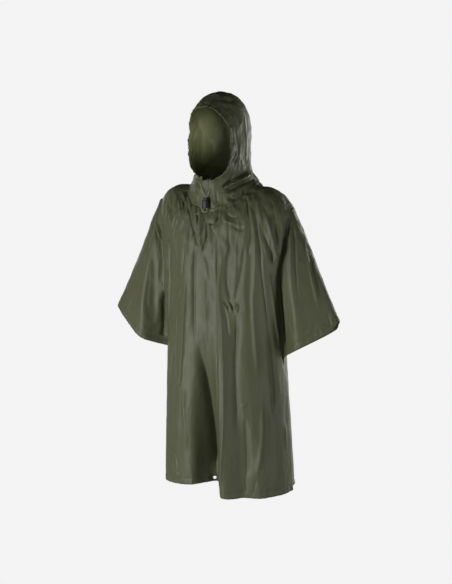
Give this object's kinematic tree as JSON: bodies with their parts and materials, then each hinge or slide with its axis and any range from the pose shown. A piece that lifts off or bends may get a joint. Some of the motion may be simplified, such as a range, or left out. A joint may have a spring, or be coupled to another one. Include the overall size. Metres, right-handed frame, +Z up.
{
  "type": "rain poncho",
  "caption": "Hooded rain poncho held open as if worn, with wide open sleeves, a long draped body, a drawcord face opening and a cord lock at the throat.",
  "frame": {"origin": "middle of the neck at shoulder level, where the garment hangs on a body or a hanger", "axes": "+Z up toward the hood, front of the garment toward -Y, left sleeve of the wearer toward +X"},
  "size_m": [0.865, 0.4051, 1.3971],
  "materials": {
    "cloth": "olive green woven nylon with a satin water-shedding coat",
    "cord": "pale olive braided cord",
    "plastic": "smooth near-black moulding",
    "eyelet": "dark coated ring"
  },
  "bodies": {
    "root": {"front_panel": "cloth", "back_panel": "cloth", "sleeve_left": "cloth", "sleeve_right": "cloth", "hood_left": "cloth", "hood_right": "cloth", "hood_channel": "cloth", "drawcord_left": "cord", "drawcord_right": "cord", "cord_lock_body": "plastic", "cord_lock_button": "plastic", "hem_eyelet": "eyelet"}
  },
  "joints": []
}
